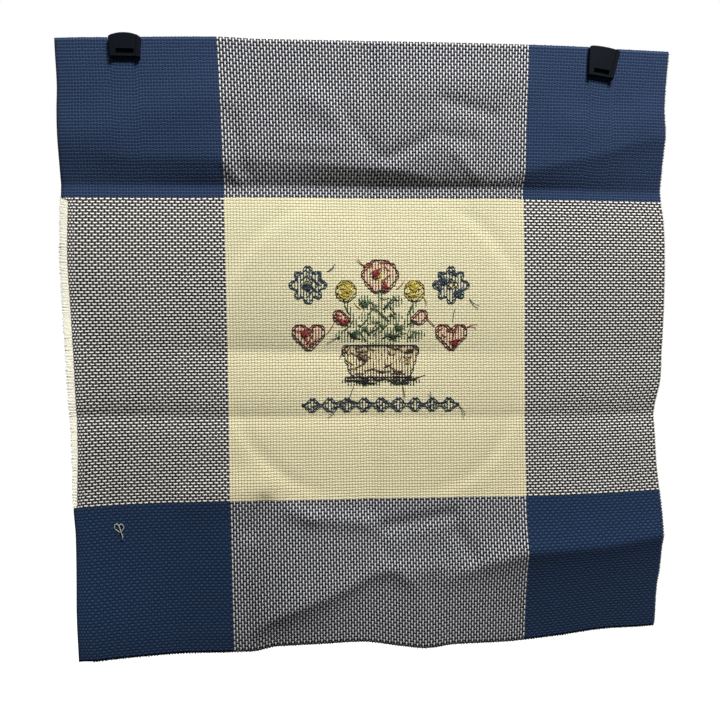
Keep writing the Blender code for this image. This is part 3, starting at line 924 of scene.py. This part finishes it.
# chart, whether it is half of one, and the warp and weft of its top left square
MOTIFS = [
    (HALF_BASKET, True, 36, 21), (STAR, False, 21, 23), (STAR, False, 71, 23),
    (HEART, False, 22, 43), (HEART, False, 72, 43), (GROUND, False, 39, 61),
]
MOTIFS += [(LOZENGE, False, 25 + 6 * place, 68) for place in range(9)]
OUTLINED = {"rRpybo": "k", "x": "t", "t": "t"}  # letters of a patch: letter of its outline
# letter: what a shop would call it, its colour where it is lit and where it is in shade
THREADS = {
    "r": ("red", "a22c2c", "36100c"), "R": ("dark red", "6a2222", "240a0a"),
    "p": ("pink", "c87a62", "6e3428"), "y": ("yellow", "dcc850", "7a6a20"),
    "b": ("brown", "48281e", "180c08"), "o": ("tan", "a88850", "54401e"),
    "g": ("green", "44663a", "182a14"), "G": ("dark green", "2c4a2c", "0e1c0e"),
    "x": ("teal", "344a5c", "101a24"), "t": ("deep teal", "263e50", "0c161e"),
    "k": ("black", "1c1a1c", "060606"),
}


def charted():
    """Every square of the design, as {(warp, weft): letter}."""
    squares = {}
    for chart, half, warp, weft in MOTIFS:
        for row, line in enumerate(chart.split()):
            whole = line + line[-2::-1] if half else line
            for column, letter in enumerate(whole):
                if letter != ".":
                    squares[warp + column, weft + row] = letter
    return squares


squares = charted()
print("squares charted:", len(squares))

# %% [markdown]
# ## The stitches
#
# Each square is a cross on the front of the work. The thread goes on to the next square on
# the back, so the back shows short upright bars along the squares' sides, and that is the
# side towards the viewer. Outlines are back-stitched: single steps on the front, which
# overlap two by two on the back. Here and there a thread is carried from one patch to
# another, and the ends hang loose.
#
# Every stitch is laid between two holes of the weave. The holes are counted like the
# squares, so a stitch needs only two counts and how far it stands off the cloth. Each is two
# strands side by side, dipping into the cloth at both ends.

# %% From counts to places
STITCH_STRAND = 0.5  # thickness of one strand, in millimetres
STITCH_PLY = 0.12  # half the distance between the two strands, in squares
# share of the way along a strand, and its height there as a share of its full height
STITCH_ARCH = ((0.03, -0.4), (0.17, 0.75), (0.5, 1.0), (0.83, 0.75), (0.97, -0.4))
OFF_HOLE = 0.05  # how far by chance a strand starts from its hole, in squares
OFF_LINE = 0.03  # and how far it bows from its line
PULL = (0.9, 1.12)  # how tight or loose it is drawn, as a share of its height


@lru_cache(maxsize=None)
def hole(warp, weft):
    """A hole between the squares: its place, and which way the viewer's side faces there."""
    across, down = flat_place(warp, weft)
    here = over_cloth(across, down, 0.0)
    return here, (over_cloth(across, down, 1.0) - here) / MM


def over_square(warp, weft, height):
    """A point over any part of a square, worked out from the four holes at its corners."""
    left, top = math.floor(warp), math.floor(weft)
    place, facing = Vector(), Vector()
    for hole_warp, warp_share in ((left, left + 1 - warp), (left + 1, warp - left)):
        for hole_weft, weft_share in ((top, top + 1 - weft), (top + 1, weft - top)):
            here, outward = hole(hole_warp, hole_weft)
            place += here * warp_share * weft_share
            facing += outward * warp_share * weft_share
    return place + facing * height * MM


def strand(start, end, height, aside, chance):
    """One strand from hole to hole, a little aside of the straight line between them."""
    start = Vector(start) + Vector([chance.uniform(-OFF_HOLE, OFF_HOLE) for _ in range(2)])
    run = Vector(end) - start
    sideways = Vector((-run.y, run.x)).normalized()
    sideways *= aside + chance.uniform(-OFF_LINE, OFF_LINE)
    top = height * chance.uniform(*PULL)
    path = []
    for share, rise in STITCH_ARCH:
        place = start + run * share + sideways * math.sin(math.pi * share)
        path.append(over_square(place.x, place.y, top * rise))
    return path


def stitch(start, end, height, chance):
    """The two strands of one stitch. A height under 0 is on the front of the work."""
    return [strand(start, end, height, side * STITCH_PLY, chance) for side in (-1, 1)]


print("a hole near the middle, mm:", [round(value / MM, 1) for value in hole(52, 52)[0]])

# %% Bars, crosses and outlines
BAR = 0.56  # heights off the middle of the cloth, in millimetres
CROSS = (-0.56, -0.78)  # one leg lies over the other
OUTLINE = 0.82
OUTLINE_FRONT = -0.92  # heights under 0 are on the front of the work
OUTLINE_ASIDE = (-0.08, 0.08)  # overlapping back-stitches lie beside each other, in squares


def crosses_and_bars(squares, chance):
    """The paths of every filled square, as {letter: paths}."""
    laid = {letter: [] for letter in THREADS}
    barred = set()
    for (warp, weft), letter in sorted(squares.items()):
        for side in (warp, warp + 1):
            if (side, weft) not in barred:
                barred.add((side, weft))
                laid[letter] += stitch((side, weft), (side, weft + 1), BAR, chance)
        laid[letter] += stitch((warp, weft), (warp + 1, weft + 1), CROSS[0], chance)
        laid[letter] += stitch((warp + 1, weft), (warp, weft + 1), CROSS[1], chance)
    return laid


def outlines(squares, letters):
    """The outlines of the patches of some letters, each a list of holes all the way round."""
    inside = {square for square, letter in squares.items() if letter in letters}
    ahead = {}
    for warp, weft in sorted(inside):
        corners = [(warp, weft), (warp + 1, weft), (warp + 1, weft + 1), (warp, weft + 1)]
        beyond = [(warp, weft - 1), (warp + 1, weft), (warp, weft + 1), (warp - 1, weft)]
        for side in range(4):
            if beyond[side] not in inside:
                ahead.setdefault(corners[side], []).append(corners[(side + 1) % 4])
    rounds = []
    while ahead:
        steps = [min(ahead)]
        while steps[-1] in ahead:
            here = steps[-1]
            steps.append(ahead[here].pop())
            if not ahead[here]:
                del ahead[here]
        rounds.append(steps[:-1])
    return rounds


def back_stitched(rounds, chance):
    """Back-stitch round each outline: single steps on the front, double ones on the back."""
    paths = []
    for steps in rounds:
        for index, start in enumerate(steps):
            one, two = steps[(index + 1) % len(steps)], steps[(index + 2) % len(steps)]
            paths.append(strand(start, two, OUTLINE, chance.choice(OUTLINE_ASIDE), chance))
            paths.append(strand(start, one, OUTLINE_FRONT, 0.0, chance))
    return paths


chance = random.Random(11)
stitches = crosses_and_bars(squares, chance)
for letters, outline in OUTLINED.items():
    stitches[outline] += back_stitched(outlines(squares, letters), chance)
print("strands laid:", sum(len(paths) for paths in stitches.values()))

# %% [markdown]
# ## Carried threads, tails and needle holes
#
# The back of a piece of needlework is its untidy side. Where a colour jumps from square to
# square its thread crosses on top of the bars, in the yellow parts mostly from side to side.
# Each length of thread ends in a tail that curls off the cloth, some with a knot. The needle
# has opened the holes round the squares, and a dark spot of painted shade sits in each, for the
# shade inside it.

# %% Carried threads and tails
CARRIED_HEIGHT = 1.1
CARRIED_BOW = 0.35  # how far one bows from its line, in squares
SHORTEST_CARRY = 1.5  # in squares
# letter, how many squares there are to one carried thread, furthest jump across and down
CARRIED = (("r", 7, 5, 5), ("R", 8, 4, 5), ("p", 9, 5, 3), ("y", 1.6, 5, 1.5), ("b", 6, 6, 3),
           ("o", 9, 5, 3), ("g", 4, 4, 4), ("G", 5, 4, 4), ("x", 6, 5, 5),
           ("t", 6, 4, 2), ("k", 1.1, 5, 0.6))
# letter, warp and weft of a tangle
TANGLES = (("r", 51, 26), ("r", 54, 30), ("r", 40, 42), ("r", 26, 46), ("r", 79, 49),
           ("g", 47, 36), ("g", 59, 44), ("x", 27, 30), ("x", 75, 28), ("x", 80, 32),
           ("y", 41, 31), ("y", 64, 30), ("b", 46, 55), ("b", 63, 52), ("G", 57, 47),
           ("G", 43, 46), ("k", 47, 62))
TANGLE_STRANDS = 12
TANGLE_HEIGHT = CARRIED_HEIGHT + 0.2
TANGLE_REACH = (0.8, 1.9)  # half the length of one of its strands, in squares
TANGLE_SPREAD = 0.9  # how far off the square's corner it is centred
TANGLE_BOW = 0.4
# letter, warp, weft, heading in degrees (0 to the right, 90 down), length in millimetres,
# how far it turns in degrees, how far its tip lifts off the cloth
TAILS = (
    ("k", 43, 64, 118, 10.5, -12, 1.2), ("k", 60, 64, 74, 8.0, 10, 1.4),
    ("r", 47, 23, 205, 6.5, 40, 1.0), ("r", 83, 44, 320, 7.0, 50, 1.3),
    ("p", 58, 31, 330, 7.5, -30, 1.0), ("b", 41, 52, 170, 6.0, -45, 1.2),
    ("y", 67, 33, 25, 6.5, 60, 1.0), ("g", 38, 47, 150, 7.5, 35, 1.5),
    ("G", 53, 33, 262, 5.5, 30, 1.0), ("x", 34, 25, 340, 7.0, -40, 1.2),
    ("t", 37, 71, 100, 7.5, 70, 1.6), ("t", 70, 69, 290, 6.0, -55, 1.4),
    ("t", 80, 71, 30, 7.5, 50, 1.5), ("t", 84, 34, 70, 8.0, -60, 1.2),
)
TAIL_STEPS = 9
TAIL_ROOT = 0.1  # height where it leaves its hole
# letter, warp and weft of one end, warp and weft of the other
JUMPS = (("t", 79, 37, 78, 43), ("y", 43, 35, 46, 38),
         ("k", 61, 62, 69, 60), ("r", 33, 47, 37, 41))
JUMP_BOW = 0.3
KNOTS = (("r", 47, 23), ("t", 37, 71), ("t", 70, 69), ("k", 44, 62), ("g", 38, 47))
KNOT_STEPS = 16
KNOT_TURN = 0.75  # radians a step
KNOT_REACH, KNOT_SWAY = 0.32, 0.1  # its radius in squares, and how far that swings
KNOT_SWAYS = 1.6  # swings a turn
KNOT_RISE = 0.04  # height gained a step


def carried(squares, letter, each, furthest, chance):
    """Threads carried across the patches of one colour."""
    own = sorted(square for square in squares if squares[square] == letter)
    reach = Vector(furthest)
    paths = []
    for start in chance.sample(own, int(len(own) / each)):
        near = [end for end in own if abs(end[0] - start[0]) <= reach.x
                and abs(end[1] - start[1]) <= reach.y
                and math.dist(start, end) > SHORTEST_CARRY]
        if near:
            end = chance.choice(near)
            bow = chance.uniform(-CARRIED_BOW, CARRIED_BOW)
            paths.append(strand(start, end, CARRIED_HEIGHT, bow, chance))
    return paths


def tangle(warp, weft, chance):
    """A few short strands that cross each other every way about a square."""
    paths = []
    for _ in range(TANGLE_STRANDS):
        turn = chance.uniform(0.0, math.pi)
        reach = Vector((math.cos(turn), math.sin(turn))) * chance.uniform(*TANGLE_REACH)
        middle = Vector([count + chance.uniform(-TANGLE_SPREAD, TANGLE_SPREAD)
                         for count in (warp, weft)])
        paths.append(strand(middle - reach, middle + reach, TANGLE_HEIGHT,
                            chance.uniform(-TANGLE_BOW, TANGLE_BOW), chance))
    return paths


def tail(warp, weft, heading, length, turn, lift):
    """A loose end that leaves a hole, curls and lifts off the cloth."""
    path = [over_square(warp, weft, TAIL_ROOT)]
    for step in range(TAIL_STEPS):
        share = (step + 1) / TAIL_STEPS
        angle = math.radians(heading + turn * share)
        warp += math.cos(angle) * length / TAIL_STEPS / WARP_PITCH
        weft += math.sin(angle) * length / TAIL_STEPS / WEFT_PITCH
        path.append(over_square(warp, weft, OUTLINE + lift * share * share))
    return path


def knot(warp, weft):
    """A small knot: a strand wound round itself."""
    path = []
    for step in range(KNOT_STEPS):
        angle = step * KNOT_TURN
        reach = KNOT_REACH + KNOT_SWAY * math.cos(angle * KNOT_SWAYS)
        path.append(over_square(warp + reach * math.cos(angle), weft + reach * math.sin(angle),
                                OUTLINE + KNOT_RISE * step))
    return path


for letter, each, *furthest in CARRIED:
    stitches[letter] += carried(squares, letter, each, furthest, chance)
for letter, warp, weft in TANGLES:
    stitches[letter] += tangle(warp, weft, chance)
for letter, *run in TAILS:
    stitches[letter].append(tail(*run))
for letter, warp, weft, to_warp, to_weft in JUMPS:
    stitches[letter].append(strand((warp, weft), (to_warp, to_weft), OUTLINE, JUMP_BOW, chance))
for letter, warp, weft in KNOTS:
    stitches[letter].append(knot(warp, weft))

for letter, paths in stitches.items():
    shade_name, lit_colour, shade_colour = THREADS[letter]
    floss = yarn_finish("stranded cotton, " + shade_name, lit_colour, shade_colour,
                        roughness=0.6, shine=0.35)
    piece = thread_piece("stitches_" + shade_name.replace(" ", "_"), paths, STITCH_STRAND, floss)

# %% Needle holes
NEEDLE_HOLE = 0.4  # radius
HOLE_SUNK = 0.2  # heights off the middle of the cloth
HOLE_TOP = 0.43  # just above its face, so that it shows


def needle_holes(squares):
    """A dark spot of painted shade at each hole that a needle went through."""
    corners = set()
    for warp, weft in squares:
        corners |= {(warp, weft), (warp + 1, weft), (warp, weft + 1), (warp + 1, weft + 1)}
    maker = bmesh.new()
    for warp, weft in sorted(corners):
        place, facing = hole(warp, weft)
        middle = place + facing * (HOLE_TOP + HOLE_SUNK) / 2 * MM
        stand = Matrix.Translation(middle) @ facing.to_track_quat("Z", "Y").to_matrix().to_4x4()
        bmesh.ops.create_cone(maker, cap_ends=True, segments=6, radius1=NEEDLE_HOLE * MM,
                              radius2=NEEDLE_HOLE * MM, depth=(HOLE_TOP - HOLE_SUNK) * MM,
                              matrix=stand)
    bmesh.ops.recalc_face_normals(maker, faces=maker.faces)
    shade = yarn_finish("ecru cotton, in the shade of a hole", "3a2c1e", "140c08")
    piece = add_piece("needle_holes", maker, shade)
    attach(piece, "root")
    print(len(corners), "holes")
    return piece


painted_hole_shade = needle_holes(squares)

# %% [markdown]
# ## A bit of lint
#
# A short end of pale thread clings to the lower left corner, in two loops.

# %% The lint
LINT_PLACE = (-162.6, 296.7)
LINT_STRAND = 0.55
LINT_HEIGHT, LINT_RISE = 0.75, 0.05  # of its first point, and from each point to the next
# (across, down) from its middle: round the near loop, round the far one, and off as the tail
LINT_LINE = (
    (0.9, 3.2), (-0.5, 2.0), (-2.1, 0.9), (-2.8, -0.7), (-2.3, -2.1), (-1.2, -2.6), (-0.3, -1.8),
    (0.3, -0.2), (1.1, 1.7), (1.5, 2.9), (2.3, 1.4), (3.1, -0.2), (2.6, -1.7), (1.4, -2.4),
    (0.4, -2.0), (0.5, -0.4), (1.0, 1.4), (1.6, 3.3), (2.2, 4.7), (2.4, 5.9), (1.7, 7.4),
)


def lint_path():
    """The line of the lint, each turn lying a little higher than the one before."""
    return [over_cloth(LINT_PLACE[0] + across, LINT_PLACE[1] + down,
                       LINT_HEIGHT + LINT_RISE * step)
            for step, (across, down) in enumerate(LINT_LINE)]


lint_cotton = yarn_finish("loose cotton fluff", "c6c9b6", "7e8270")
lint = thread_piece("lint", [lint_path()], LINT_STRAND, lint_cotton)

# %% [markdown]
# ## The clips
#
# Each clip is moulded in black plastic, like the sliding clips of a trouser hanger. Its shape
# is right in the construction model, so the model's own piece stays and only gets its finish.
# A mould leaves a fine even grain, which keeps the highlights soft.

# %% The moulded plastic
CLIP_COLOUR = "02060d"
CLIP_DUSTY = "070e18"  # where a little dust has settled
MOULD_GRAIN = 0.35 * MM  # coarser than a real mould's, which is too fine to show
MOULD_BUMP, MOULD_HEIGHT = 0.4, 0.04 * MM
DUST_PATCH = 4.0 * MM


def moulded_plastic():
    """Black polypropylene with a fine grain from the mould: dark, with soft highlights."""
    made, tree, shader = new_finish("black polypropylene, moulded", Roughness=0.42, IOR=1.49,
                                    Specular_IOR_Level=0.14)
    grain = speckle(tree, MOULD_GRAIN, detail=3.0)
    dust = speckle(tree, DUST_PATCH)
    colour = node(tree, "ShaderNodeMix", {"Factor": dust, "A": linear(CLIP_COLOUR),
                  "B": linear(CLIP_DUSTY)}, data_type="RGBA")["Result"]
    finish_with(tree, shader, colour, grain, MOULD_BUMP, MOULD_HEIGHT)
    return made


plastic = moulded_plastic()
for clip_name, *_ in CLIPS:
    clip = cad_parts[clip_name]
    for slot in clip.material_slots:
        slot.material = plastic
print("finished", [row[0] for row in CLIPS], "in", plastic.name)

# %% [markdown]
# ## The studio
#
# The cloth hangs against plain white. The key light is a small one above, in front and a
# little to the right, so it rakes down the cloth and finds every fold. A much larger one
# overhead and the white surroundings fill the shadows, and a third lights the far side. The
# camera is close, a little left of the middle, and turned a few degrees to the right, which
# gives the cloth its slight perspective.

# %% Camera, light, surroundings and floor
CAMERA_PLACE = Vector((-69.9, -497.4, -158.4)) * MM
CAMERA_FORWARD = Vector((0.1163, 0.9905, -0.0736))
CAMERA_UP = Vector((0.0182, 0.072, 0.9972))
LENS = 40.0
CLOTH_MIDDLE = Vector((0.0, 0.0, -0.19))
# name, place, size across, power in watts
LIGHTS = (
    ("key", Vector((0.25, -0.72, 0.85)), 0.35, 23.0),
    ("overhead", Vector((0.0, -0.9, 1.7)), 1.8, 10.0),
    ("behind", Vector((0.3, 1.5, 0.5)), 1.2, 22.0),
)
SURROUND = 0.075  # how strongly the surroundings light the cloth
FLOOR_LEVEL = -1.1
FLOOR_REACH = 40.0


def add_camera():
    """The camera, at the viewing angle of the finished picture."""
    lens = bpy.data.cameras.new("camera")
    lens.lens = LENS
    lens.clip_start = 0.01
    camera = bpy.data.objects.new("camera", lens)
    forward = CAMERA_FORWARD.normalized()
    right = forward.cross(CAMERA_UP).normalized()
    turned = Matrix((right, right.cross(forward), -forward)).transposed()
    camera.matrix_world = Matrix.Translation(CAMERA_PLACE) @ turned.to_4x4()
    bpy.context.scene.collection.objects.link(camera)
    bpy.context.scene.camera = camera


def add_light(name, place, aim, size, power):
    """A square area light that faces a point."""
    lamp = bpy.data.lights.new(name, "AREA")
    lamp.size = size
    lamp.energy = power
    light = bpy.data.objects.new(name, lamp)
    light.location = place
    light.rotation_euler = (aim - place).to_track_quat("-Z", "Y").to_euler()
    bpy.context.scene.collection.objects.link(light)


def add_surroundings():
    """White to look at, and a softer white as light."""
    world = bpy.data.worlds.new("white studio")
    world.use_nodes = True
    tree = world.node_tree
    seen = node(tree, "ShaderNodeLightPath")["Is Camera Ray"]
    strength = node(tree, "ShaderNodeMix", {"Factor": seen, "A": SURROUND, "B": 1.0})["Result"]
    tree.links.new(strength, tree.nodes["Background"].inputs["Strength"])
    tree.nodes["Background"].inputs["Color"].default_value = (1.0, 1.0, 1.0, 1.0)
    bpy.context.scene.world = world


def add_floor():
    """A plain pale floor, well below the cloth. It glows, so that it looks as white as the
    surroundings, and throws none of that back on the cloth."""
    made, _, _ = new_finish("pale studio floor", Base_Color=linear("e0e0e0"), Roughness=0.9,
                            Emission_Color=linear("ffffff"), Emission_Strength=1.0)
    maker = bmesh.new()
    bmesh.ops.create_grid(maker, x_segments=1, y_segments=1, size=FLOOR_REACH)
    bmesh.ops.translate(maker, verts=maker.verts, vec=(0.0, 0.0, FLOOR_LEVEL))
    floor = add_piece("studio_floor", maker, made)
    floor.visible_diffuse = False
    floor.visible_glossy = False


add_camera()
for light_name, light_place, light_size, light_power in LIGHTS:
    add_light(light_name, light_place, CLOTH_MIDDLE, light_size, light_power)
add_surroundings()
add_floor()
bpy.context.scene.view_settings.view_transform = "Standard"
print("camera at", [round(value, 3) for value in CAMERA_PLACE])
